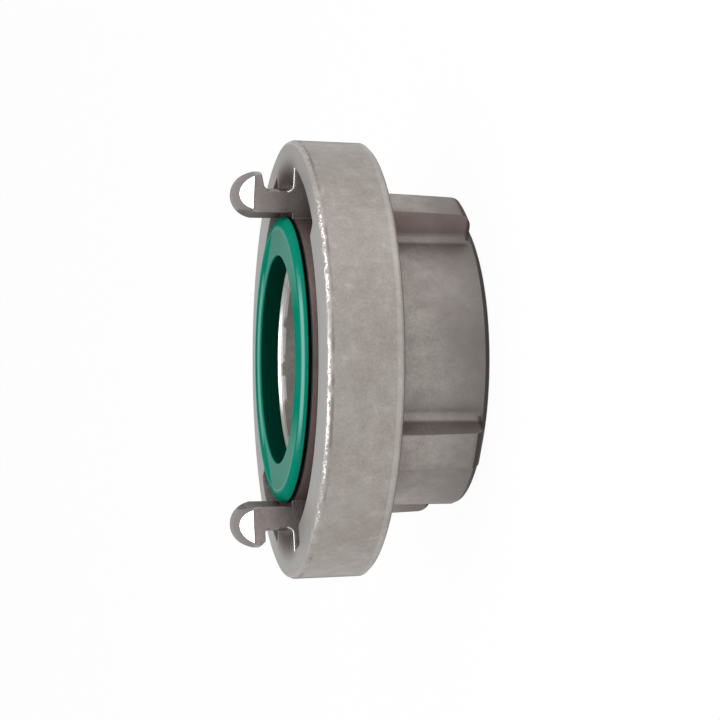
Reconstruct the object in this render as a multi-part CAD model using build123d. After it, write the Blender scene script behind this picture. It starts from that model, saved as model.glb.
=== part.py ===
"""Quarter-turn fire hose coupling, fixed type, with two hooked lugs and a female pipe thread.

Millimetres. Z is the waterway's axis. Z = 0 is the hub's rear face, and the lugs point up.
The first lug is centred on +X and the second on -X.
"""
from build123d import *
import math
import os

# Heights above the hub's rear face
body_length = 50.0
ring_width = 21.1
web_thickness = 4.0

# Outer ring, with the bayonet channel under its front rim
ring_outer_radius = 63.5
ring_front_round = 1.4
ring_rear_chamfer = 0.9
ring_draft = 0.4
channel_outer_radius = 56.4
rim_inner_radius = 51.0
rim_thickness_at_slot = 6.2
rim_thickness_at_stop = 7.4
slot_corner_round = 1.0

# Angles about the axis, in degrees, measured from the middle of a lug
lug_count = 2
lug_half_angle = 14.7
slot_far_angle = 49.0
pocket_far_angle = 24.1

# Collar that carries the seal
collar_outer_radius = 41.7
collar_lip_radius = 36.0
collar_lip_thickness = 1.2
seal_groove_radius = 38.2
seal_groove_height = 1.6

# Hooked lugs on the ring's front plane
lug_inner_radius = 43.3
lug_neck_radius = 49.5
lug_hook_radius = 54.3
hook_back_height = 8.1
hook_back_chamfer = 1.0
hook_inner_chamfer = 1.1
lug_root_round = 1.8
lug_height = 16.1
nose_round = 6.2
nose_centre_radius = 47.9
nose_crown_radius = 32.0
facet_height = 11.3
facet_angle = 45.0
lead_in_rise = 1.2
lead_in_length = 9.0

# Waterway and pipe thread, G 2 1/2: the bore is modelled at the thread's root radius
waterway_radius = 29.2
waterway_chamfer = 1.2
waterway_straight = 11.0
gasket_seat_radius = 33.5
thread_root_radius = 37.6
thread_length = 27.0
thread_mouth_chamfer = 0.6
relief_depth = 0.5
relief_width = 3.0

# Hub with its wrench ribs
hub_radius = 42.6
hub_rear_round = 1.6
hub_ring_chamfer = 1.2
rib_count = 4
rib_first_angle = -30.0
rib_outer_radius = 51.8
rib_draft = 1.4
rib_width = 11.3
rib_rear_gap = 2.2
rib_end_round = 3.8
rib_edge_round = 1.0
rib_root_fillet = 2.6

# Rubber seal
seal_bore_radius = 30.2
seal_flange_radius = 41.2
seal_face_height = 2.8
seal_flange_gap = 0.8
seal_face_dish = 0.5
seal_outer_chamfer = 1.1
seal_bore_chamfer = 0.4
seal_fit_clearance = 0.2

# Rounded outer edges of the turned blank are cut as this many flat bevels
edge_bevels = 2

ring_rear = body_length - ring_width
channel_floor = ring_rear + web_thickness
seal_groove_top = body_length - collar_lip_thickness
seal_shoulder = seal_groove_top - seal_groove_height
thread_end = thread_length + relief_width


def corner_of(face, radius, height):
    """The section's corner nearest to a radius from the axis and a height."""
    return face.vertices().sort_by_distance((radius, height, 0))[0]


def filleted(face, corners):
    """Round the named corners, each given as (radius from axis, height, fillet radius)."""
    for radius, height, size in corners:
        face = fillet(corner_of(face, radius, height), size)
    return face


def chamfered(face, corners):
    """Bevel the named corners, each given as (radius from axis, height, bevel width)."""
    for radius, height, size in corners:
        face = chamfer(corner_of(face, radius, height), size)
    return face


def eased_edge(radius, height, size, start):
    """Outer edge rounded in equal bevels, as (radius, height) points counted up from an angle of 0 or -90."""
    centre_height = height + size if start < 0 else height - size
    turns = [math.radians(start + 90.0 * step / edge_bevels) for step in range(edge_bevels + 1)]
    return [(radius - size + size * math.cos(turn), centre_height + size * math.sin(turn)) for turn in turns]


def turned(face, start=0.0, angle=360.0):
    """Revolve a section, drawn as (radius, height), about the coupling's axis."""
    section = Rotation(0, 0, start) * (Plane.XZ * face)
    return revolve(section, Axis.Z, angle)


def outline(*points):
    """Closed flat section through the given (radius, height) points."""
    return make_face(Polyline(*points, close=True))


def body_blank():
    """Hub, ring and collar as one turned shape, still without the bayonet channel."""
    seat_start = seal_shoulder - waterway_chamfer - waterway_straight
    ring_rear_radius = ring_outer_radius - ring_draft
    section = outline(
        (thread_root_radius + thread_mouth_chamfer, 0),
        *eased_edge(hub_radius, 0, hub_rear_round, -90),
        (hub_radius, ring_rear),
        (ring_rear_radius, ring_rear),
        *eased_edge(ring_outer_radius, body_length, ring_front_round, 0),
        (collar_lip_radius, body_length),
        (collar_lip_radius, seal_groove_top),
        (seal_groove_radius, seal_groove_top),
        (seal_groove_radius, seal_shoulder),
        (waterway_radius + waterway_chamfer, seal_shoulder),
        (waterway_radius, seal_shoulder - waterway_chamfer),
        (waterway_radius, seat_start),
        (gasket_seat_radius, thread_end),
        (thread_root_radius + relief_depth, thread_end),
        (thread_root_radius + relief_depth, thread_length),
        (thread_root_radius, thread_length),
        (thread_root_radius, thread_mouth_chamfer),
    )
    section = chamfered(
        section,
        [
            (hub_radius, ring_rear, hub_ring_chamfer),
            (ring_rear_radius, ring_rear, ring_rear_chamfer),
        ],
    )
    return turned(section)


def hub_ribs():
    """Wrench ribs: straight sides, rounded roots, and a drafted outer face that rounds off at the rear."""
    bar = Rectangle(rib_outer_radius, rib_width, align=(Align.MIN, Align.CENTER))
    bar = bar & Circle(rib_outer_radius)
    outer_corners = bar.vertices().sort_by(Axis.X)[-2:]
    bar = fillet(outer_corners, rib_edge_round)
    star = Circle(hub_radius)
    for index in range(rib_count):
        star += Rotation(0, 0, rib_first_angle - index * 360.0 / rib_count) * bar
    roots = [v for v in star.vertices() if abs(Vector(v.X, v.Y).length - hub_radius) < 0.01]
    star = fillet(roots, rib_root_fillet)
    prism = Pos(0, 0, rib_rear_gap) * extrude(star, ring_rear - rib_rear_gap)
    rear_radius = rib_outer_radius - rib_draft
    envelope = outline(
        (thread_root_radius + relief_depth, rib_rear_gap),
        (rear_radius, rib_rear_gap),
        (rib_outer_radius, ring_rear),
        (thread_root_radius + relief_depth, ring_rear),
    )
    envelope = filleted(envelope, [(rear_radius, rib_rear_gap, rib_end_round)])
    return prism & turned(envelope)


def sector(inner, outer, start, end):
    """Flat annular sector between two radii and two angles."""
    outer_arc = CenterArc((0, 0), outer, start, end - start)
    inner_arc = CenterArc((0, 0), inner, end, start - end)
    sides = Line(outer_arc @ 1, inner_arc @ 0) + Line(inner_arc @ 1, outer_arc @ 0)
    return make_face(outer_arc + inner_arc + sides)


def bayonet_channel(lug_angle):
    """Space that the mating lug uses on its quarter turn, from this lug's entry slot to the next lug's stop."""
    next_lug = lug_angle - 360.0 / lug_count
    slot_edge = lug_angle - slot_far_angle
    stop_edge = next_lug + pocket_far_angle
    start = next_lug + lug_half_angle
    end = lug_angle - lug_half_angle
    mouth = sector(collar_outer_radius, rim_inner_radius, start, end)
    mouth += sector(collar_outer_radius, channel_outer_radius, slot_edge, end)
    mouth += sector(collar_outer_radius, channel_outer_radius, start, stop_edge)
    for angle in (slot_edge, stop_edge):
        for radius in (rim_inner_radius, channel_outer_radius):
            place = Vector(radius, 0, 0).rotate(Axis.Z, angle)
            mouth = fillet(mouth.vertices().sort_by_distance(place)[0], slot_corner_round)
    undercut = sector(collar_outer_radius, channel_outer_radius, start, end)
    undercut = extrude(undercut, ring_width - web_thickness) & below_ramp(slot_edge, stop_edge)
    return Pos(0, 0, channel_floor) * (extrude(mouth, ring_width) + undercut)


def below_ramp(slot_edge, stop_edge):
    """Half space under the rim's sloping underside, thin at the slot and thick at the stop, from the floor up."""
    half_turn = math.radians((slot_edge - stop_edge) / 2)
    reach = channel_outer_radius * math.sin(half_turn)
    drop = rim_thickness_at_stop - rim_thickness_at_slot
    mean_thickness = (rim_thickness_at_slot + rim_thickness_at_stop) / 2
    mean_height = body_length - channel_floor - mean_thickness
    tilt = math.degrees(math.atan(drop / (2 * reach)))
    width = 3 * ring_outer_radius
    block = Box(width, width, body_length, align=(Align.CENTER, Align.CENTER, Align.MAX))
    return Rotation(0, 0, (slot_edge + stop_edge) / 2) * (Pos(0, 0, mean_height) * (Rotation(tilt, 0, 0) * block))


def nose_wheel():
    """Disc with a fully rounded rim, standing on the lug's radial line: it domes the nose both ways."""
    hub_height = body_length + lug_height - nose_crown_radius
    rim_centre = nose_crown_radius - nose_round
    low = nose_centre_radius - nose_round
    high = nose_centre_radius + nose_round
    half = Line((low, 0), (low, rim_centre))
    half += ThreePointArc((low, rim_centre), (nose_centre_radius, nose_crown_radius), (high, rim_centre))
    half += Polyline((high, rim_centre), (high, 0), (low, 0))
    section = Plane.XZ * make_face(half)
    return Pos(0, 0, hub_height) * revolve(section, Axis.X, 360)


def end_facet(side):
    """Block that planes a bevel between one end of the lug and its nose. Side is +1 or -1."""
    cutter = Box(
        2 * nose_crown_radius, nose_crown_radius, nose_crown_radius, align=(Align.CENTER, Align.CENTER, Align.MIN)
    )
    cutter = Rotation(-side * facet_angle, 0, 0) * cutter
    cutter = Pos(nose_centre_radius, 0, body_length + facet_height) * cutter
    return Rotation(0, 0, side * lug_half_angle) * cutter


def lead_in_bevel():
    """Block that slopes the hook's back away from the rim at the end that enters first."""
    hook_depth = lug_hook_radius - lug_neck_radius
    radial_tilt = math.degrees(math.atan(lead_in_rise / hook_depth))
    run_out = math.degrees(math.atan(lead_in_rise / lead_in_length))
    cutter = Box(
        3 * hook_depth, 3 * lead_in_length, hook_back_height / 2, align=(Align.CENTER, Align.CENTER, Align.MAX)
    )
    cutter = Rotation(-run_out, -radial_tilt, 0) * cutter
    cutter = Pos(lug_neck_radius, 0, body_length + hook_back_height) * cutter
    neck = Cylinder(lug_neck_radius + hook_inner_chamfer, 2 * body_length, align=(Align.CENTER, Align.CENTER, Align.MIN))
    return Rotation(0, 0, -lug_half_angle) * cutter - neck


def lug():
    """Hooked lug centred on +X, standing on the ring's front plane."""
    foot = body_length - web_thickness
    hook_back = body_length + hook_back_height
    section = outline(
        (lug_inner_radius, foot),
        (lug_inner_radius, body_length + lug_height),
        (lug_hook_radius, body_length + lug_height),
        (lug_hook_radius, hook_back),
        (lug_neck_radius, hook_back),
        (lug_neck_radius, body_length),
        (lug_hook_radius, body_length),
        (lug_hook_radius, foot),
    )
    section = filleted(section, [(lug_neck_radius, body_length, lug_root_round)])
    section = chamfered(
        section,
        [(lug_hook_radius, hook_back, hook_back_chamfer), (lug_neck_radius, hook_back, hook_inner_chamfer)],
    )
    blank = turned(section, -lug_half_angle, 2 * lug_half_angle)
    return (blank & nose_wheel()) - end_facet(1) - end_facet(-1) - lead_in_bevel()


def coupling_body():
    """The whole casting."""
    body = body_blank() + hub_ribs()
    for index in range(lug_count):
        body -= bayonet_channel(index * 360.0 / lug_count)
    one_lug = lug()
    for index in range(lug_count):
        body += Rotation(0, 0, index * 360.0 / lug_count) * one_lug
    return body


def sealing_ring():
    """Lip seal: a foot in the collar's groove, a neck, and a wide flange with a slightly dished face."""
    face = body_length + seal_face_height
    flange_under = body_length + seal_flange_gap
    foot_radius = seal_groove_radius - seal_fit_clearance
    neck_radius = collar_lip_radius - seal_fit_clearance
    dish_radius = (seal_bore_radius + seal_flange_radius) / 2
    section = outline(
        (seal_bore_radius, face),
        (seal_bore_radius, seal_shoulder),
        (foot_radius, seal_shoulder),
        (foot_radius, seal_groove_top),
        (neck_radius, seal_groove_top),
        (neck_radius, flange_under),
        (seal_flange_radius, flange_under),
        (seal_flange_radius, face),
        (dish_radius, face - seal_face_dish),
    )
    section = chamfered(
        section,
        [(seal_flange_radius, face, seal_outer_chamfer), (seal_bore_radius, face, seal_bore_chamfer)],
    )
    return turned(section)


os.makedirs("parts", exist_ok=True)
for name, piece in (("coupling_body", coupling_body()), ("sealing_ring", sealing_ring())):
    export_step(piece, f"parts/{name}.step")
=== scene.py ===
"""Looks of the quarter-turn fire hose coupling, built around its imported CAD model. Metres, Z up.

The waterway's axis is Z, the lugs point up, and the first lug is centred on +X.
"""

import math

import bpy
from mathutils import Matrix, Vector


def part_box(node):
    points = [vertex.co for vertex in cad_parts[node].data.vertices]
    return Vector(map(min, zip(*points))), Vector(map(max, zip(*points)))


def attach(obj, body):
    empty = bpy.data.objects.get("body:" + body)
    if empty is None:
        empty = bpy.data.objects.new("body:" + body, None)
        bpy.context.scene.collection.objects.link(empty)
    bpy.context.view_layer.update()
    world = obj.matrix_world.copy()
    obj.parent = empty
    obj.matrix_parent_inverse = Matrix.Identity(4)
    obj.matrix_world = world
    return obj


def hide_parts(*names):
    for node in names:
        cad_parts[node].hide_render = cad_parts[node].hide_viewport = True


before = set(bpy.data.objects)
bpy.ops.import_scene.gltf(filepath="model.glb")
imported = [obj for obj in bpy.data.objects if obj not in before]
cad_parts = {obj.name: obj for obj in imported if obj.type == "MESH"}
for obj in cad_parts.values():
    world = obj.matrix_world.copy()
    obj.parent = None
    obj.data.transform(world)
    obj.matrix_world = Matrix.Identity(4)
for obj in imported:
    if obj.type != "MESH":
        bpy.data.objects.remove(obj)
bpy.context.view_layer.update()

BODY = "root"
MM = 0.001

# Sizes read from the imported CAD model
BODY_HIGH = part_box("coupling_body")[1]
RING_RADIUS = BODY_HIGH.x
SEAL_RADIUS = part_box("sealing_ring")[1].x

# Sizes of the casting that the looks follow
LUG_HEIGHT = 16.1 * MM
FRONT_PLANE = BODY_HIGH.z - LUG_HEIGHT
LUG_HALF_ANGLE = math.radians(14.7)
LUG_INNER_RADIUS = 43.3 * MM
LUG_NECK_RADIUS = 49.5 * MM
LUG_ROOT_ROUND = 1.8 * MM
FACET_PLANE = FRONT_PLANE + 11.3 * MM
RING_REAR = 28.9 * MM
RING_FRONT_ROUND = 1.4 * MM
RING_REAR_BEVEL = 0.9 * MM
HUB_RADIUS = 42.6 * MM
RIB_END = 2.2 * MM
RIM_RADIUS = 51.0 * MM
CHANNEL_RADIUS = 56.4 * MM
CHANNEL_FLOOR = 32.9 * MM
COLLAR_RADIUS = 41.7 * MM
WATERWAY_RADIUS = 29.2 * MM
WATERWAY_FRONT = 47.2 * MM
WATERWAY_BEVEL = 1.2 * MM
THREAD_BORE_RADIUS = 37.6 * MM

# Behind the ring, a point beyond this radius is on the hub's outside and not in its bore
HUB_OUTSIDE = 39 * MM

# Pipe thread, 11 turns to the inch, its ridges rooted a little way into the bore's wall
THREAD_PITCH = 2.309 * MM
THREAD_ROOT_RADIUS = THREAD_BORE_RADIUS + 0.05 * MM
THREAD_CREST_RADIUS = 36.1 * MM
THREAD_FULLNESS = 1.25
THREAD_START = 0.7 * MM
THREAD_END = 27.0 * MM
THREAD_SEGMENTS = 128
THREAD_SMOOTH_ANGLE = math.radians(35)
THREAD_WELD = 0.01 * MM

# Lip seal
SEAL_BORE_RADIUS = 30.2 * MM
SEAL_FOOT_RADIUS = 38.0 * MM
SEAL_NECK_RADIUS = 35.8 * MM
SEAL_FOOT_TOP = 48.8 * MM
SEAL_FLANGE_UNDER = 50.8 * MM
SEAL_LIP_RADIUS = SEAL_RADIUS + 0.4 * MM
SEAL_CREST_RADIUS = 38.0 * MM
SEAL_CREST = 52.9 * MM
SEAL_DISH = 52.65 * MM
SEAL_BORE_EDGE = 52.7 * MM
SEAL_LIP_STEPS = 10
SEAL_SEGMENTS = 180
SEAL_ROUNDING = 0.5 * MM
SEAL_ROUNDING_STEPS = 4
SEAL_SHARP_ANGLE = math.radians(40)

# How near a point lies to a surface to count as on it, and how soft the edge of a band is
NEAR = 0.1 * MM
SOFT = 0.05 * MM

# Relief and tool lines of the finishes, softened edges, and the reach within which a recess darkens
CASTING_RELIEF = 0.10 * MM
CASTING_SOFT_EDGE = 0.4 * MM
CASTING_RECESS = 18 * MM
THREAD_RELIEF = 0.02 * MM
TOOL_LINE_PITCH = 0.12 * MM
RUBBER_RELIEF = 0.05 * MM
RUBBER_RECESS = 6 * MM

# Noise for wear and dirt, in features to the metre
SPECKLE_SCALE = 1500.0
RAGGED_SCALE = 500.0
PATCH_SCALE = 110.0
DIRT_SCALE = 70.0

# The photograph's view in pixels: its width, the focal length, the ring's radius, and how far the ring's
# centre lies left of the picture's middle and above it
PHOTO_SIZE = 720.0
PHOTO_FOCAL = 2000.0
PHOTO_RING_RADIUS = 218.2
PHOTO_CENTRE_LEFT = 74.3
PHOTO_CENTRE_UP = 0.45

# How far the mouth is turned towards the camera, the sensor's width in millimetres, and the nearest distance
# that the camera sees
PHOTO_TURN = math.radians(12.0)
SENSOR_WIDTH = 36.0
CLIP_START = 10 * MM

# The studio: its floor, the share of white that the camera sees there, and the world's strength as a light
FLOOR_SIZE = 40
FLOOR_WHITE = 0.97
WORLD_LIGHT = 0.5

# The softboxes' names, places, sizes in metres and powers in watts
SOFTBOXES = (
    ("front_softbox", (0, -0.25, 0.85), 0.7, 4),
    ("upper_softbox", (0.8, -0.5, 0.3), 0.6, 2.5),
    ("lower_softbox", (-0.8, -0.5, 0.2), 0.6, 0.6),
)

# Linear colours
STEEL = (0.375, 0.345, 0.318, 1)
STEEL_WARM = (0.325, 0.29, 0.265, 1)
STEEL_COOL = (0.30, 0.30, 0.295, 1)
STEEL_DULL = (0.19, 0.172, 0.165, 1)
# Bluish dark of painted shade low on the lugs' ends
STEEL_BLUE = (0.11, 0.105, 0.108, 1)
# Dark tone of painted shade
STEEL_IN_SHADE = (0.11, 0.09, 0.088, 1)
STEEL_SHADED = (0.055, 0.047, 0.045, 1)
# Near black of painted shade on rear-facing rounds and along outlines
STEEL_DARK = (0.035, 0.031, 0.03, 1)
# Bright steel of ground and worn places, also used for painted highlights
STEEL_BRIGHT = (0.88, 0.88, 0.87, 1)
STEEL_CUT = (0.55, 0.53, 0.51, 1)
# Rosy brown of painted shade on the lugs' ends
STEEL_ROSY = (0.30, 0.21, 0.24, 1)
# Brown of painted shade on the collar's side
STEEL_SHADE_BROWN = (0.225, 0.12, 0.11, 1)
# Brown of painted shade on the ribs' flanks
STEEL_BROWN = (0.20, 0.14, 0.13, 1)
PIT = (0.08, 0.07, 0.066, 1)
# Black of the painted shadow at the collar's mouth
BLACK = (0.012, 0.01, 0.01, 1)
WHITE = (1, 1, 1, 1)
PALE = (0.9, 0.9, 0.9, 1)
GREEN = (0.0, 0.225, 0.145, 1)
# Dark green of painted shade in the seal's recesses and bore
GREEN_IN_SHADE = (0.0, 0.03, 0.018, 1)
# Pale green of dust, and of painted sheen on the seal's face
GREEN_DUST_AND_SHEEN = (0.115, 0.27, 0.215, 1)
# Pale green of painted highlights on the seal
GREEN_HIGHLIGHT = (0.28, 0.50, 0.44, 1)

# Darker tints of what the steel mirrors at a grazing angle, as painted shade in its recesses and under the
# hooks
GRAZED_RECESS = (0.80, 0.60, 0.57, 1)
GRAZED_SHADE = (0.30, 0.23, 0.21, 1)


class Sheet:
    """Short way to lay out and join the nodes of one material or group."""

    def __init__(self, tree):
        self.tree = tree

    def node(self, kind, **settings):
        made = self.tree.nodes.new(kind)
        for name, value in settings.items():
            setattr(made, name, value)
        return made

    def feed(self, socket, source):
        """Join a socket to another node's output, or give it a plain value."""
        if isinstance(source, bpy.types.NodeSocket):
            self.tree.links.new(source, socket)
        else:
            socket.default_value = source

    def math(self, operation, first, second=0.5, third=0.5):
        made = self.node("ShaderNodeMath", operation=operation)
        for socket, source in zip(made.inputs, (first, second, third)):
            self.feed(socket, source)
        return made.outputs[0]

    def length(self, first, second):
        """Length of the diagonal over two distances."""
        squared = self.math("MULTIPLY", first, first)
        return self.math("SQRT", self.math("MULTIPLY_ADD", second, second, squared))

    def place(self):
        """Where the shaded point is, in the piece's own space."""
        return self.node("ShaderNodeTexCoord").outputs["Object"]

    def split(self, vector):
        """A vector's X, Y and Z."""
        made = self.node("ShaderNodeSeparateXYZ")
        self.feed(made.inputs[0], vector)
        return made.outputs

    def noise(self, scale, detail=3.0, roughness=0.55):
        """Noise in the piece's own space, its scale in features to the metre."""
        made = self.node("ShaderNodeTexNoise")
        self.feed(made.inputs["Vector"], self.place())
        self.feed(made.inputs["Scale"], scale)
        made.inputs["Detail"].default_value = detail
        made.inputs["Roughness"].default_value = roughness
        return made.outputs["Fac"]

    def ramp(self, value, low, high, out_low=0.0, out_high=1.0):
        """Smooth step of a value between two limits."""
        made = self.node("ShaderNodeMapRange", interpolation_type="SMOOTHSTEP")
        for socket, source in zip(made.inputs, (value, low, high, out_low, out_high)):
            self.feed(socket, source)
        return made.outputs["Result"]

    def fall(self, value, low, high):
        """One below two limits, and falling smoothly to zero between them."""
        return self.ramp(value, low, high, 1.0, 0.0)

    def band(self, value, low, high, soft=SOFT):
        """One between two limits, and zero outside them."""
        rise = self.ramp(value, low - soft, low + soft)
        return self.where_all(rise, self.fall(value, high - soft, high + soft))

    def where_all(self, *masks):
        """One only where every mask is."""
        result = masks[0]
        for mask in masks[1:]:
            result = self.math("MULTIPLY", result, mask)
        return result

    def where_any(self, *masks):
        """One wherever any mask is."""
        result = masks[0]
        for mask in masks[1:]:
            result = self.math("MAXIMUM", result, mask)
        return result

    def outside(self, mask, strength=1.0):
        """One where a mask is zero, and less by the given strength where it is one."""
        return self.math("SUBTRACT", 1.0, self.math("MULTIPLY", mask, strength))

    def coat(self, colour, layers):
        """Lay colours over a first one, each given as (mask, strength, colour)."""
        for mask, strength, cover in layers:
            mix = self.node("ShaderNodeMix", data_type="RGBA")
            self.feed(mix.inputs["Factor"], self.math("MULTIPLY", mask, strength))
            self.feed(mix.inputs["A"], colour)
            self.feed(mix.inputs["B"], cover)
            colour = mix.outputs["Result"]
        return colour

    def bump(self, height, distance, strength=1.0):
        """Bump node for a height in units of the given distance."""
        made = self.node("ShaderNodeBump")
        made.inputs["Distance"].default_value = distance
        self.feed(made.inputs["Strength"], strength)
        self.feed(made.inputs["Height"], height)
        return made

    def seen(self):
        """One for what the camera sees, also in reflections and through glass, and zero for plain light."""
        path = self.node("ShaderNodeLightPath").outputs
        return self.where_any(path["Is Camera Ray"], path["Is Glossy Ray"], path["Is Transmission Ray"])


class Spot:
    """Where the shaded point is on the coupling; across is its distance from the plane between the lugs."""

    def __init__(self, sheet):
        place = sheet.split(sheet.place())
        self.x = place["X"]
        self.y = place["Y"]
        self.height = place["Z"]
        self.radius = sheet.length(self.x, self.y)
        self.across = sheet.math("ABSOLUTE", self.x)


def new_group(name, inputs, outputs):
    """Empty shader group, with inputs given as name: (kind, default value) and outputs as name: kind."""
    group = bpy.data.node_groups.new(name, "ShaderNodeTree")
    for label, (kind, value) in inputs.items():
        socket = group.interface.new_socket(label, in_out="INPUT", socket_type=kind)
        socket.default_value = value
    for label, kind in outputs.items():
        group.interface.new_socket(label, in_out="OUTPUT", socket_type=kind)
    sheet = Sheet(group)
    return sheet, sheet.node("NodeGroupInput").outputs, sheet.node("NodeGroupOutput").inputs


def blasted_grain_group():
    """Fine bead-blasted grain, the mottled and lumpy skin of a casting, and slow stains."""
    number = "NodeSocketFloat"
    sheet, given, out = new_group(
        "blasted_grain",
        {
            "Grain Scale": (number, 1800.0),
            "Lump Scale": (number, 260.0),
            "Stain Scale": (number, 45.0),
        },
        {"Grain": number, "Mottle": number, "Stain": number, "Height": number},
    )
    grain = sheet.noise(given["Grain Scale"], 2.0, 0.6)
    lumps = sheet.noise(given["Lump Scale"], 5.0, 0.7)
    stain = sheet.noise(given["Stain Scale"], 4.0, 0.6)
    sheet.feed(out["Grain"], grain)
    sheet.feed(out["Mottle"], lumps)
    sheet.feed(out["Stain"], sheet.ramp(stain, 0.35, 0.68))
    sheet.feed(out["Height"], sheet.math("MULTIPLY_ADD", grain, 0.35, lumps))
    return sheet.tree


def pit_group():
    """Scattered pits: a few cells of a cell pattern, each with a small dark spot."""
    number = "NodeSocketFloat"
    sheet, given, out = new_group(
        "casting_pits",
        {"Scale": (number, 150.0), "Share": (number, 0.05), "Size": (number, 0.13)},
        {"Mask": number},
    )
    cells = sheet.node("ShaderNodeTexVoronoi")
    sheet.feed(cells.inputs["Vector"], sheet.place())
    sheet.feed(cells.inputs["Scale"], given["Scale"])
    chance = sheet.node("ShaderNodeSeparateColor")
    sheet.feed(chance.inputs[0], cells.outputs["Color"])
    chosen = sheet.math("LESS_THAN", chance.outputs[0], given["Share"])
    size = sheet.math("MULTIPLY", given["Size"], sheet.math("ADD", chance.outputs[1], 0.4))
    pit = sheet.fall(cells.outputs["Distance"], sheet.math("MULTIPLY", size, 0.5), size)
    sheet.feed(out["Mask"], sheet.where_all(chosen, pit))
    return sheet.tree


def recess_group():
    """How deep a point lies in a corner or recess, from the light that it is cut off from."""
    number = "NodeSocketFloat"
    sheet, given, out = new_group("recess_tint", {"Reach": (number, 12 * MM)}, {"Mask": number})
    shade = sheet.node("ShaderNodeAmbientOcclusion", samples=8)
    sheet.feed(shade.inputs["Distance"], given["Reach"])
    sheet.feed(out["Mask"], sheet.fall(shade.outputs["AO"], 0.15, 0.85))
    return sheet.tree


def use_group(sheet, group, **values):
    """Place a group in a material, with its own values, and return its outputs."""
    made = sheet.node("ShaderNodeGroup", node_tree=group)
    for name, value in values.items():
        sheet.feed(made.inputs[name.replace("_", " ")], value)
    return made.outputs


def new_material(name):
    material = bpy.data.materials.new(name)
    material.use_nodes = True
    sheet = Sheet(material.node_tree)
    return material, sheet, material.node_tree.nodes["Principled BSDF"].inputs


def ground_facets(sheet, spot, flat):
    """Slanted facets ground on the lugs' noses."""
    return sheet.where_all(
        sheet.ramp(sheet.math("ABSOLUTE", flat["Y"]), 0.60, 0.64),
        sheet.ramp(flat["Z"], 0.60, 0.64),
        sheet.math("GREATER_THAN", spot.height, FACET_PLANE - MM),
    )


def lug_ends(sheet, spot):
    """Flat ends of the lugs with the slot walls below them, painted highlight lines along their edges, and a
    lighter line along the collar's corners.

    The first result is how far a point lies outside the plane of a lug's end.
    """
    sideways = sheet.math("MULTIPLY", spot.across, math.sin(LUG_HALF_ANGLE))
    along = sheet.math("MULTIPLY", sheet.math("ABSOLUTE", spot.y), math.cos(LUG_HALF_ANGLE))
    off_end = sheet.math("SUBTRACT", along, sideways)
    on_end = sheet.where_all(
        sheet.band(off_end, -0.12 * MM, 0.12 * MM, 0.03 * MM),
        sheet.band(spot.radius, COLLAR_RADIUS + NEAR, CHANNEL_RADIUS + 0.3 * MM),
    )
    round_radius = LUG_NECK_RADIUS + LUG_ROOT_ROUND
    round_height = FRONT_PLANE + LUG_ROOT_ROUND
    # Painted highlight along the slot's edge and the lug's root round
    slot_highlight = sheet.where_all(
        on_end,
        sheet.band(spot.height, FRONT_PLANE - 0.6 * MM, FRONT_PLANE + NEAR),
        sheet.ramp(spot.radius, round_radius - NEAR, round_radius),
    )
    beyond_round = sheet.math("SUBTRACT", spot.radius, round_radius)
    above_round = sheet.math("SUBTRACT", spot.height, round_height)
    from_centre = sheet.length(beyond_round, above_round)
    root_highlight = sheet.where_all(
        on_end,
        sheet.band(from_centre, LUG_ROOT_ROUND - NEAR, LUG_ROOT_ROUND + 0.4 * MM),
        sheet.math("LESS_THAN", beyond_round, 0.0),
        sheet.math("LESS_THAN", above_round, 0.0),
    )
    corner_line = sheet.where_all(
        sheet.band(off_end, -NEAR, 0.25 * MM),
        sheet.band(spot.radius, COLLAR_RADIUS - NEAR, COLLAR_RADIUS + 0.3 * MM),
        sheet.band(spot.height, CHANNEL_FLOOR, FRONT_PLANE),
    )
    return off_end, on_end, sheet.where_any(slot_highlight, root_highlight), corner_line


def waterway_mouth_marks(sheet, spot):
    """Bevel at the waterway's mouth, a painted highlight along its top edge, and bright patches on the wall
    inside it.
    """
    bevel_radius = WATERWAY_RADIUS + WATERWAY_BEVEL
    bevel = sheet.where_all(
        sheet.band(spot.radius, WATERWAY_RADIUS, bevel_radius),
        sheet.band(spot.height, WATERWAY_FRONT - WATERWAY_BEVEL, WATERWAY_FRONT),
    )
    # Painted highlight along the bevel's top edge, strongest away from the lugs
    edge = sheet.where_all(
        bevel,
        sheet.ramp(spot.height, WATERWAY_FRONT - 0.85 * MM, WATERWAY_FRONT - 0.75 * MM),
        sheet.ramp(spot.across, 11 * MM, 18 * MM, 1.0, 0.2),
    )
    patches = sheet.where_all(
        sheet.fall(spot.radius, bevel_radius, bevel_radius + NEAR),
        sheet.band(spot.height, WATERWAY_FRONT - 2.2 * MM, WATERWAY_FRONT, 0.15 * MM),
        sheet.outside(bevel, 0.8),
        sheet.ramp(sheet.noise(PATCH_SCALE, 2.0), 0.45, 0.50),
    )
    return bevel, edge, patches


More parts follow.
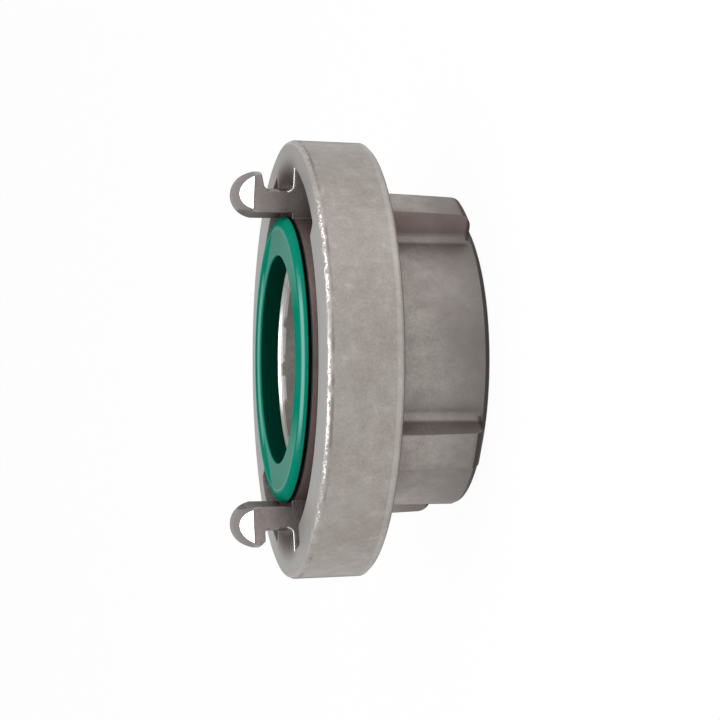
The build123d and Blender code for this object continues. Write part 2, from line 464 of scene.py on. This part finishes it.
def rim_wear_and_light(sheet, spot):
    """Bright wear on the ring's front edge, fuller away from the lugs, where it is also a painted highlight;
    a patchy dark band behind it, painted shade towards the first lug.
    """
    speckle = sheet.noise(SPECKLE_SCALE, 3.0, 0.7)
    ragged = sheet.math("SUBTRACT", sheet.noise(RAGGED_SCALE, 3.0, 0.7), 0.5)
    edge_radius = sheet.math("ADD", spot.radius, sheet.math("MULTIPLY", ragged, 3.0 * MM))
    fuller_middle = sheet.ramp(spot.across, 8 * MM, 40 * MM, 0.12, 0.0)
    worn = sheet.where_all(
        sheet.band(edge_radius, RING_RADIUS - 0.75 * MM, RING_RADIUS - 0.2 * MM, 0.12 * MM),
        sheet.band(spot.height, FRONT_PLANE - 0.7 * RING_FRONT_ROUND, FRONT_PLANE + NEAR, 0.12 * MM),
        sheet.ramp(sheet.math("ADD", speckle, fuller_middle), 0.44, 0.58),
        sheet.ramp(sheet.noise(PATCH_SCALE, 2.0), 0.34, 0.58, 0.2, 1.0),
        sheet.ramp(spot.across, 42 * MM, 50 * MM, 1.0, 0.15),
    )
    # Painted shade along the ring's edge towards the first lug
    top_edge_shade = sheet.where_all(
        sheet.ramp(spot.x, 44 * MM, 52 * MM),
        sheet.ramp(speckle, 0.42, 0.52),
    )
    dirt = sheet.where_all(
        sheet.ramp(edge_radius, RING_RADIUS - 0.5 * MM, RING_RADIUS - 0.2 * MM),
        sheet.band(spot.height, FRONT_PLANE - 1.9 * MM, FRONT_PLANE - 1.1 * MM, 0.2 * MM),
        sheet.where_any(top_edge_shade, sheet.ramp(sheet.noise(DIRT_SCALE, 2.0), 0.45, 0.60)),
    )
    return worn, dirt


def front_of_ring(sheet, spot, upward):
    """The ring's flat front face, and its part towards the first lug, darkened there as painted shade."""
    face = sheet.where_all(
        sheet.ramp(upward, 0.85, 0.95),
        sheet.band(spot.height, FRONT_PLANE - NEAR, FRONT_PLANE + NEAR),
        sheet.ramp(spot.radius, RIM_RADIUS - NEAR, RIM_RADIUS),
    )
    return face, sheet.where_all(face, sheet.ramp(spot.x, 38 * MM, 56 * MM))


def hook_shade(sheet, spot, off_end):
    """Dark corner where a hook shades its own neck and root."""
    return sheet.where_all(
        sheet.band(spot.height, FRONT_PLANE - NEAR, FRONT_PLANE + LUG_ROOT_ROUND + 2 * MM),
        sheet.ramp(spot.radius, LUG_NECK_RADIUS - 0.3 * MM, LUG_NECK_RADIUS),
        sheet.fall(spot.radius, LUG_NECK_RADIUS + 3 * MM, CHANNEL_RADIUS + 3.5 * MM),
        sheet.ramp(off_end, -3 * MM, 3 * MM, 1.0, 0.4),
        sheet.fall(off_end, 3 * MM, 6 * MM),
        sheet.ramp(spot.x, -MM, MM, 0.8, 1.0),
    )


def lug_sides(sheet, spot, upward):
    """Painted shade on the lugs' noses, deeper on the sides of the noses, and on the lugs' inner faces."""
    nose_shade = sheet.ramp(spot.height, FACET_PLANE - 0.7 * MM, FACET_PLANE + 0.3 * MM)
    nose_side_shade = sheet.where_all(nose_shade, sheet.fall(upward, 0.25, 0.85))
    inside = sheet.where_all(
        sheet.fall(spot.radius, LUG_INNER_RADIUS + 0.05 * MM, LUG_INNER_RADIUS + 0.2 * MM),
        sheet.ramp(spot.height, FRONT_PLANE, FRONT_PLANE + 0.2 * MM),
    )
    return nose_shade, nose_side_shade, inside


def collar_walls(sheet, spot, on_end):
    """The collar's side just behind the front, in painted brown shade, and a painted black shadow at its
    mouth, away from the lugs' ends.
    """
    side = sheet.where_all(
        sheet.band(spot.radius, COLLAR_RADIUS - NEAR, COLLAR_RADIUS + NEAR),
        sheet.band(spot.height, FRONT_PLANE - 4 * MM, FRONT_PLANE - 0.3 * MM, 0.1 * MM),
    )
    mouth = sheet.where_all(
        sheet.fall(spot.radius, LUG_INNER_RADIUS - NEAR, LUG_INNER_RADIUS + NEAR),
        sheet.band(spot.height, FRONT_PLANE - 0.3 * MM, FRONT_PLANE + NEAR, 0.1 * MM),
        sheet.outside(on_end),
    )
    return side, mouth


def hub_outside(sheet, spot, upward):
    """The hub's outer surface, its painted shade, which deepens towards the rear, and painted shade on its
    rounded rear edges.
    """
    side = sheet.where_all(
        sheet.fall(spot.height, RING_REAR, RING_REAR + NEAR),
        sheet.ramp(spot.radius, HUB_OUTSIDE, HUB_OUTSIDE + MM),
    )
    shade = sheet.where_all(side, sheet.fall(spot.height, 2 * MM, 26 * MM))
    rear_round_shade = sheet.where_all(sheet.band(upward, -0.96, -0.32, 0.04), side)
    return side, shade, rear_round_shade


def wrench_ribs(sheet, spot, upward, flat):
    """Painted shade on the wrench ribs' rear ends, and on their flanks, where the surface faces across the
    radius.
    """
    ends = sheet.where_all(
        sheet.ramp(spot.radius, HUB_RADIUS + 0.2 * MM, HUB_RADIUS + 0.6 * MM),
        sheet.fall(spot.height, RIB_END + 0.4 * MM, RIB_END + 1.6 * MM),
        sheet.ramp(upward, -0.98, -0.95),
    )
    outward = sheet.math("MULTIPLY_ADD", spot.x, flat["X"], sheet.math("MULTIPLY", spot.y, flat["Y"]))
    flanks = sheet.where_all(
        sheet.ramp(spot.radius, HUB_RADIUS + 0.6 * MM, HUB_RADIUS + 1.4 * MM),
        sheet.fall(spot.height, RING_REAR - 0.2 * MM, RING_REAR),
        sheet.fall(sheet.math("DIVIDE", outward, spot.radius), 0.45, 0.6),
        sheet.ramp(spot.x, -5 * MM, 5 * MM, 0.35, 1.0),
    )
    return ends, flanks


def rear_of_ring(sheet, spot):
    """Painted highlight: a pale strip on the ring's wall beside its rear bevel; painted shade: the dark line
    at its rear.
    """
    strip_start = RING_REAR + RING_REAR_BEVEL
    strip = sheet.where_all(
        sheet.ramp(spot.radius, RING_RADIUS - 0.6 * MM, RING_RADIUS - 0.5 * MM),
        sheet.band(spot.height, strip_start, strip_start + 1.3 * MM, 0.15 * MM),
    )
    line = sheet.where_all(
        sheet.ramp(spot.radius, RING_RADIUS - 1.6 * MM, RING_RADIUS - 1.5 * MM),
        sheet.band(spot.height, RING_REAR - NEAR, RING_REAR + 0.4 * RING_REAR_BEVEL),
    )
    return strip, line


def casting_recess_shade(sheet, spot, recess):
    """Painted shade in recesses, weaker on the open walls near the front, and once more without those next
    to the floor.
    """
    deep = use_group(sheet, recess, Reach=CASTING_RECESS)["Mask"]
    near_front = sheet.band(spot.height, FRONT_PLANE - 3 * MM, FRONT_PLANE, 0.6 * MM)
    recess_shade = sheet.where_all(deep, sheet.outside(near_front, 0.75))
    off_floor = sheet.where_all(deep, sheet.ramp(spot.height, 2 * MM, 4 * MM))
    return recess_shade, off_floor


def cast_stainless(grain_group, pits, recess):
    """Bead-blasted casting: grained and mottled, bright where it is ground or worn, with painted highlights
    on edges and painted shade in its recesses and on faces turned from the light.
    """
    material, sheet, shader = new_material("cast_stainless")
    spot = Spot(sheet)
    grain = use_group(sheet, grain_group)
    pit = use_group(sheet, pits)["Mask"]
    geometry = sheet.node("ShaderNodeNewGeometry").outputs
    flat = sheet.split(geometry["True Normal"])
    upward = sheet.split(geometry["Normal"])["Z"]

    facets = ground_facets(sheet, spot, flat)
    off_end, on_end, end_highlights, corner_line = lug_ends(sheet, spot)
    waterway_bevel, waterway_edge_highlight, waterway_patches = waterway_mouth_marks(sheet, spot)
    worn_rim_and_highlight, rim_dark_band = rim_wear_and_light(sheet, spot)
    front_face, front_top_shade = front_of_ring(sheet, spot, upward)
    shaded_hook = hook_shade(sheet, spot, off_end)
    nose_shade, nose_side_shade, lug_inside_shade = lug_sides(sheet, spot, upward)
    collar_side_shade, collar_mouth_shadow = collar_walls(sheet, spot, on_end)
    hub_side, hub_shade, hub_round_shade = hub_outside(sheet, spot, upward)
    rib_end_shade, rib_flank_shade = wrench_ribs(sheet, spot, upward, flat)
    rear_highlight, rear_crease_shade = rear_of_ring(sheet, spot)
    recess_shade, recess_reflection_shade = casting_recess_shade(sheet, spot, recess)
    end_mottle = sheet.where_all(on_end, sheet.ramp(grain["Mottle"], 0.52, 0.38))
    end_foot_shade = sheet.where_all(on_end, sheet.fall(spot.height, FRONT_PLANE + MM, FRONT_PLANE + 8 * MM))
    # Painted shade where the steel is seen edge-on, darkening its outlines
    edge_on_shade = sheet.ramp(sheet.node("ShaderNodeLayerWeight").outputs["Facing"], 0.84, 0.98)
    # Polish on the ground facets and worn rim, with painted highlights on the waterway's edge, the lugs' end
    # edges and the rim
    bright = sheet.where_any(facets, waterway_edge_highlight, end_highlights, worn_rim_and_highlight)

    skin = sheet.coat(
        STEEL,
        [
            (grain["Stain"], 1.0, STEEL_WARM),
            (sheet.ramp(grain["Mottle"], 0.50, 0.70), 0.10, STEEL_BRIGHT),
            (sheet.ramp(grain["Mottle"], 0.50, 0.32), 0.22, STEEL_DULL),
            (sheet.ramp(grain["Grain"], 0.45, 0.75), 0.10, STEEL_BRIGHT),
            (sheet.ramp(grain["Grain"], 0.50, 0.28), 0.15, STEEL_DULL),
            (sheet.where_all(hub_side, sheet.ramp(grain["Stain"], 0.3, 0.9)), 0.25, STEEL_DULL),
            (sheet.where_all(hub_side, sheet.ramp(grain["Grain"], 0.52, 0.34)), 0.16, STEEL_DULL),
            (sheet.where_all(hub_side, sheet.ramp(grain["Mottle"], 0.54, 0.36)), 0.15, STEEL_DULL),
            (front_face, 0.7, STEEL_COOL),
            # Painted shade on the front face towards the first lug
            (front_top_shade, 0.3, STEEL_DULL),
            # Painted highlight beside the ring's rear bevel
            (rear_highlight, 0.10, STEEL_BRIGHT),
            # Painted shade on the hub, deepening towards the rear
            (hub_shade, 0.7, STEEL_DULL),
            # Painted shade on the lugs' noses, their sides, and the lugs' inner faces
            (nose_shade, 0.75, STEEL_DULL),
            (nose_side_shade, 0.5, STEEL_IN_SHADE),
            (lug_inside_shade, 0.6, STEEL_IN_SHADE),
            # Painted shade in the casting's recesses
            (recess_shade, 0.75, STEEL_IN_SHADE),
            (shaded_hook, 0.93, STEEL_SHADED),
            (waterway_bevel, 0.5, STEEL_DULL),
            (waterway_patches, 0.8, STEEL_BRIGHT),
            # Painted brown shade on the collar's side
            (collar_side_shade, 0.5, STEEL_SHADE_BROWN),
            # Painted brownish shade over the lugs' end faces
            (on_end, 0.3, STEEL_ROSY),
            (end_mottle, 0.2, STEEL_DULL),
            # Painted shade on the ribs' flanks, stronger on the upper ones
            (rib_flank_shade, 0.55, STEEL_BROWN),
            # Painted shade at the feet of the lugs' ends and down the slot walls
            (end_foot_shade, 0.45, STEEL_BLUE),
            # Painted black shadow under the seal's flange at the collar's mouth
            (collar_mouth_shadow, 0.92, BLACK),
            (corner_line, 0.6, STEEL),
            # Painted shade in the crease at the ring's rear
            (rear_crease_shade, 0.7, STEEL_IN_SHADE),
            # Painted shade on the rear-facing rounds of the hub and on the ribs' ends
            (sheet.where_any(hub_round_shade, rib_end_shade), 0.8, STEEL_DARK),
            # Patchy dark band behind the ring's front edge, painted shade towards the first lug
            (rim_dark_band, 0.5, STEEL_IN_SHADE),
            (edge_on_shade, 0.6, STEEL_DARK),
            (pit, 0.6, PIT),
            (bright, 1.0, STEEL_BRIGHT),
        ],
    )
    # Painted shade in the steel's grazing reflections, in recesses and under the hooks
    grazed_shade_tint = sheet.coat(WHITE, [(recess_reflection_shade, 0.8, GRAZED_RECESS), (shaded_hook, 0.45, GRAZED_SHADE)])
    rough = sheet.ramp(grain["Grain"], 0.3, 0.7, 0.48, 0.58)
    sheet.feed(shader["Base Color"], skin)
    sheet.feed(shader["Specular Tint"], grazed_shade_tint)
    sheet.feed(shader["Roughness"], sheet.math("SUBTRACT", rough, sheet.math("MULTIPLY", bright, 0.26)))
    shader["Metallic"].default_value = 1.0

    soft_edges = sheet.node("ShaderNodeBevel", samples=6)
    soft_edges.inputs["Radius"].default_value = CASTING_SOFT_EDGE
    smoother_facets = sheet.math("MULTIPLY_ADD", facets, -0.5, 0.6)
    bump = sheet.bump(sheet.math("SUBTRACT", grain["Height"], pit), CASTING_RELIEF, smoother_facets)
    sheet.feed(bump.inputs["Normal"], soft_edges.outputs["Normal"])
    sheet.feed(shader["Normal"], bump.outputs["Normal"])
    return material


def turned_thread(grain_group):
    """Cut steel of the thread: brighter than the casting, with fine tool lines along the turns."""
    material, sheet, shader = new_material("turned_thread")
    grain = use_group(sheet, grain_group, Grain_Scale=1200.0)
    height = sheet.split(sheet.place())["Z"]
    lines = sheet.math("SINE", sheet.math("MULTIPLY", height, 2 * math.pi / TOOL_LINE_PITCH))
    tone = sheet.math("MULTIPLY_ADD", lines, 0.08, grain["Grain"])
    sheet.feed(shader["Base Color"], sheet.coat(STEEL, [(sheet.ramp(tone, 0.25, 0.75), 1.0, STEEL_CUT)]))
    sheet.feed(shader["Roughness"], sheet.ramp(tone, 0.2, 0.8, 0.26, 0.42))
    sheet.feed(shader["Normal"], sheet.bump(tone, THREAD_RELIEF).outputs["Normal"])
    shader["Metallic"].default_value = 1.0
    return material


def seal_sheen_and_polish(sheet, spot):
    """Painted sheen on the seal's face, painted highlights on its crest and lip, and gloss on the lip and
    one half.
    """
    upper_and_lower = sheet.ramp(spot.across, 13 * MM, 27 * MM)
    narrowed = sheet.math("ADD", spot.radius, sheet.ramp(spot.y, 2 * MM, 20 * MM, 0.0, 6.2 * MM))
    painted_sheen = sheet.where_all(
        sheet.ramp(spot.height, SEAL_BORE_EDGE - 0.4 * MM, SEAL_BORE_EDGE - 0.2 * MM),
        sheet.ramp(spot.radius, SEAL_BORE_RADIUS, SEAL_BORE_RADIUS + 0.4 * MM),
        sheet.fall(narrowed, SEAL_CREST_RADIUS + 0.3 * MM, SEAL_CREST_RADIUS + 1.2 * MM),
        upper_and_lower,
    )
    crest = sheet.where_all(
        sheet.band(spot.radius, SEAL_CREST_RADIUS - 0.2 * MM, SEAL_CREST_RADIUS + 0.2 * MM, 0.15 * MM),
        upper_and_lower,
    )
    lip_highlight_and_polish = sheet.where_all(
        sheet.band(spot.radius, SEAL_LIP_RADIUS - 1.7 * MM, SEAL_LIP_RADIUS - 0.5 * MM, 0.3 * MM),
        sheet.ramp(spot.height, SEAL_FLANGE_UNDER + MM, SEAL_FLANGE_UNDER + 1.2 * MM),
        sheet.outside(upper_and_lower),
    )
    polished_half = sheet.where_all(
        sheet.band(spot.radius, SEAL_BORE_RADIUS + 1.5 * MM, SEAL_CREST_RADIUS - 3.2 * MM, 0.5 * MM),
        sheet.ramp(spot.y, 22 * MM, 31 * MM),
    )
    return painted_sheen, crest, lip_highlight_and_polish, polished_half


def green_rubber(grain_group, recess):
    """Moulded rubber: matt, with painted sheen and highlights on its face, crest and lip, glossier on its
    lip and one half, and painted shade in its recesses and bore.
    """
    material, sheet, shader = new_material("green_rubber")
    spot = Spot(sheet)
    grain = use_group(sheet, grain_group, Grain_Scale=1500.0, Lump_Scale=180.0, Stain_Scale=60.0)
    deep = use_group(sheet, recess, Reach=RUBBER_RECESS)["Mask"]
    painted_sheen, crest, lip_highlight_and_polish, polished_half = seal_sheen_and_polish(sheet, spot)
    inside = sheet.where_all(
        sheet.fall(spot.radius, SEAL_BORE_RADIUS + 0.05 * MM, SEAL_BORE_RADIUS + 0.25 * MM),
        sheet.fall(spot.height, SEAL_BORE_EDGE - 0.6 * MM, SEAL_BORE_EDGE - 0.2 * MM),
    )
    colour = sheet.coat(
        GREEN,
        [
            (grain["Stain"], 0.06, GREEN_DUST_AND_SHEEN),
            # Painted sheen on the seal's face towards the lugs
            (painted_sheen, 0.8, GREEN_DUST_AND_SHEEN),
            # Painted highlight along the seal's crest
            (crest, 0.3, GREEN_HIGHLIGHT),
            # Painted highlight on the seal's lip
            (lip_highlight_and_polish, 0.6, GREEN_HIGHLIGHT),
            # Painted shade in the seal's recesses
            (deep, 0.35, GREEN_IN_SHADE),
            # Painted shade inside the seal's bore
            (inside, 0.95, GREEN_IN_SHADE),
        ],
    )
    gloss = sheet.math("MULTIPLY", sheet.where_any(lip_highlight_and_polish, polished_half), 0.25)
    sheet.feed(shader["Base Color"], colour)
    sheet.feed(shader["Roughness"], sheet.ramp(grain["Grain"], 0.3, 0.7, 0.32, 0.42))
    sheet.feed(shader["Specular IOR Level"], gloss)
    sheet.feed(shader["Normal"], sheet.bump(grain["Height"], RUBBER_RELIEF, 0.3).outputs["Normal"])
    return material


def white_floor():
    """Pale floor that takes the shadow, and shows white to the camera and to reflections."""
    material, sheet, shader = new_material("white_floor")
    shader["Base Color"].default_value = PALE
    shader["Roughness"].default_value = 1.0
    glow = sheet.node("ShaderNodeEmission")
    blend = sheet.node("ShaderNodeMixShader")
    sheet.feed(blend.inputs[0], sheet.math("MULTIPLY", sheet.seen(), FLOOR_WHITE))
    sheet.feed(blend.inputs[1], material.node_tree.nodes["Principled BSDF"].outputs[0])
    sheet.feed(blend.inputs[2], glow.outputs[0])
    sheet.feed(material.node_tree.nodes["Material Output"].inputs["Surface"], blend.outputs[0])
    return material


def finish_piece(piece, name, material):
    """Name a finished piece, dress it, and let it ride on the coupling."""
    piece.name = name
    piece.data.name = name
    piece.data.materials.clear()
    piece.data.materials.append(material)
    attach(piece, BODY)


def apply_modifiers(piece):
    bpy.context.view_layer.objects.active = piece
    for modifier in list(piece.modifiers):
        bpy.ops.object.modifier_apply(modifier=modifier.name)


def turned_ring(sections, segments):
    """Closed ring through (radius, height) corners: a circle, drawn out and resized from one to the next."""
    bpy.ops.object.select_all(action="DESELECT")
    first_radius, first_height = sections[0]
    bpy.ops.mesh.primitive_circle_add(
        vertices=segments, radius=first_radius, location=(0, 0, first_height)
    )
    ring = bpy.context.object
    bpy.ops.object.transform_apply(location=True, rotation=True, scale=True)
    bpy.ops.object.mode_set(mode="EDIT")
    bpy.ops.mesh.select_mode(type="EDGE")
    bpy.ops.mesh.select_all(action="SELECT")
    for (radius, height), (before_radius, before_height) in zip(sections[1:], sections):
        bpy.ops.mesh.extrude_region()
        share = radius / before_radius
        bpy.ops.transform.resize(value=(share, share, 1), center_override=(0, 0, before_height))
        bpy.ops.transform.translate(value=(0, 0, height - before_height))
    bpy.ops.mesh.select_all(action="DESELECT")
    bpy.ops.mesh.select_non_manifold()
    bpy.ops.mesh.bridge_edge_loops()
    bpy.ops.mesh.select_all(action="SELECT")
    bpy.ops.mesh.normals_make_consistent(inside=False)
    bpy.ops.object.mode_set(mode="OBJECT")
    return ring


def lip_outline():
    """Quarter of an ellipse round the seal's lip, from under its flange up to its crest."""
    reach = SEAL_LIP_RADIUS - SEAL_CREST_RADIUS
    rise = SEAL_CREST - SEAL_FLANGE_UNDER
    turns = [math.pi / 2 * step / SEAL_LIP_STEPS for step in range(SEAL_LIP_STEPS + 1)]
    return [
        (SEAL_CREST_RADIUS + reach * math.cos(turn), SEAL_FLANGE_UNDER + rise * math.sin(turn))
        for turn in turns
    ]


def lip_seal(material):
    """Rubber seal: the foot in its groove, the neck, and the flange with its rounded lip and dished face."""
    seal = turned_ring(
        [
            (SEAL_BORE_RADIUS, SEAL_BORE_EDGE),
            (SEAL_BORE_RADIUS, WATERWAY_FRONT),
            (SEAL_FOOT_RADIUS, WATERWAY_FRONT),
            (SEAL_FOOT_RADIUS, SEAL_FOOT_TOP),
            (SEAL_NECK_RADIUS, SEAL_FOOT_TOP),
            (SEAL_NECK_RADIUS, SEAL_FLANGE_UNDER),
            *lip_outline(),
            ((SEAL_BORE_RADIUS + SEAL_CREST_RADIUS) / 2, SEAL_DISH),
        ],
        SEAL_SEGMENTS,
    )
    rounding = seal.modifiers.new("rounding", "BEVEL")
    rounding.limit_method = "ANGLE"
    rounding.angle_limit = SEAL_SHARP_ANGLE
    rounding.width = SEAL_ROUNDING
    rounding.segments = SEAL_ROUNDING_STEPS
    apply_modifiers(seal)
    bpy.ops.object.shade_smooth()
    finish_piece(seal, "lip_seal", material)
    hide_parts("sealing_ring")


def ridge_profile():
    """Profile of one thread ridge on the bore's wall, just below the thread's start.

    Its flanks rise THREAD_FULLNESS times as steeply as a plain V's.
    """
    half = THREAD_PITCH / 2
    centre = THREAD_START - half
    bpy.ops.object.select_all(action="DESELECT")
    bpy.ops.mesh.primitive_plane_add(size=THREAD_PITCH, rotation=(math.radians(90), 0, 0))
    ridge = bpy.context.object
    ridge.location = (THREAD_ROOT_RADIUS + half, 0, centre)
    bpy.ops.object.transform_apply(location=True, rotation=True, scale=True)
    mesh = ridge.data
    bpy.ops.object.mode_set(mode="EDIT")
    bpy.ops.mesh.select_mode(type="VERT")
    bpy.ops.mesh.select_all(action="DESELECT")
    bpy.ops.object.mode_set(mode="OBJECT")
    outer = max(vertex.co.x for vertex in mesh.vertices)
    for vertex in mesh.vertices:
        vertex.select = vertex.co.x > outer - half
    bpy.ops.object.mode_set(mode="EDIT")
    bpy.ops.mesh.delete(type="VERT")
    bpy.ops.mesh.select_all(action="SELECT")
    bpy.ops.mesh.subdivide(number_cuts=3)
    bpy.ops.object.mode_set(mode="OBJECT")
    depth = THREAD_ROOT_RADIUS - THREAD_CREST_RADIUS
    for vertex in mesh.vertices:
        away = abs(vertex.co.z - centre) / half
        vertex.co.x -= depth * min(1.0, THREAD_FULLNESS * (1 - away))
    return ridge


def wind_ridge(ridge):
    """Wind a ridge's profile along the whole thread, with at least a turn to spare at each end."""
    winding = ridge.modifiers.new("winding", "SCREW")
    winding.axis = "Z"
    winding.screw_offset = THREAD_PITCH
    winding.iterations = math.ceil((THREAD_END - THREAD_START) / THREAD_PITCH) + 2
    winding.steps = THREAD_SEGMENTS
    winding.render_steps = THREAD_SEGMENTS
    winding.use_merge_vertices = True
    winding.merge_threshold = THREAD_WELD
    apply_modifiers(ridge)


def pipe_thread(material):
    """Ridges of the female pipe thread: one ridge, wound along the bore and cut off flat at its ends."""
    ridge = ridge_profile()
    wind_ridge(ridge)
    bpy.ops.object.mode_set(mode="EDIT")
    bpy.ops.mesh.select_all(action="SELECT")
    bpy.ops.mesh.bisect(plane_co=(0, 0, THREAD_START), plane_no=(0, 0, 1), clear_inner=True)
    bpy.ops.mesh.select_all(action="SELECT")
    bpy.ops.mesh.bisect(plane_co=(0, 0, THREAD_END), plane_no=(0, 0, 1), clear_outer=True)
    bpy.ops.mesh.select_all(action="SELECT")
    bpy.ops.mesh.remove_doubles(threshold=THREAD_WELD)
    bpy.ops.mesh.normals_make_consistent(inside=True)
    bpy.ops.object.mode_set(mode="OBJECT")
    bpy.ops.object.shade_smooth_by_angle(angle=THREAD_SMOOTH_ANGLE)
    finish_piece(ridge, "pipe_thread_ridges", material)


def dress_casting(material):
    """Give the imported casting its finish, and leave its shape as it is."""
    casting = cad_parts["coupling_body"]
    casting.data.materials.clear()
    casting.data.materials.append(material)


def add_floor(material):
    bpy.ops.object.select_all(action="DESELECT")
    bpy.ops.mesh.primitive_plane_add(size=FLOOR_SIZE, location=(0, 0, 0))
    floor = bpy.context.object
    floor.name = "floor"
    floor.data.materials.append(material)


def add_world():
    """White studio, seen white by the camera and by reflections, and softer as a light."""
    world = bpy.data.worlds.new("studio")
    world.use_nodes = True
    bpy.context.scene.world = world
    sheet = Sheet(world.node_tree)
    background = world.node_tree.nodes["Background"].inputs
    background["Color"].default_value = WHITE
    strength = sheet.math("MULTIPLY_ADD", sheet.seen(), 1 - WORLD_LIGHT, WORLD_LIGHT)
    sheet.feed(background["Strength"], strength)


def add_softbox(name, place, size, power):
    """Square lamp that faces the middle of the coupling."""
    data = bpy.data.lights.new(name, "AREA")
    data.shape = "SQUARE"
    data.size = size
    data.energy = power
    lamp = bpy.data.objects.new(name, data)
    bpy.context.scene.collection.objects.link(lamp)
    lamp.location = place
    towards = Vector((0, 0, FRONT_PLANE / 2)) - Vector(place)
    lamp.rotation_euler = towards.to_track_quat("-Z", "Y").to_euler()


def add_camera():
    """Camera beside the coupling, with a lug up in the picture and the mouth turned towards it."""
    scale = RING_RADIUS / PHOTO_RING_RADIUS
    forward = Vector((0, math.cos(PHOTO_TURN), -math.sin(PHOTO_TURN)))
    right = Vector((0, -math.sin(PHOTO_TURN), -math.cos(PHOTO_TURN)))
    up = Vector((1, 0, 0))
    place = Vector((0, 0, FRONT_PLANE)) - forward * PHOTO_FOCAL * scale
    place += right * PHOTO_CENTRE_LEFT * scale - up * PHOTO_CENTRE_UP * scale
    data = bpy.data.cameras.new("camera")
    data.sensor_width = SENSOR_WIDTH
    data.lens = SENSOR_WIDTH * PHOTO_FOCAL / PHOTO_SIZE
    data.clip_start = CLIP_START
    camera = bpy.data.objects.new("camera", data)
    bpy.context.scene.collection.objects.link(camera)
    turned = Matrix((right, up, -forward)).transposed().to_4x4()
    camera.matrix_world = Matrix.Translation(place) @ turned
    bpy.context.scene.camera = camera


bpy.context.scene.view_settings.view_transform = "Standard"
grain = blasted_grain_group()
recess = recess_group()
dress_casting(cast_stainless(grain, pit_group(), recess))
lip_seal(green_rubber(grain, recess))
pipe_thread(turned_thread(grain))

add_floor(white_floor())
add_world()
for softbox in SOFTBOXES:
    add_softbox(*softbox)
add_camera()
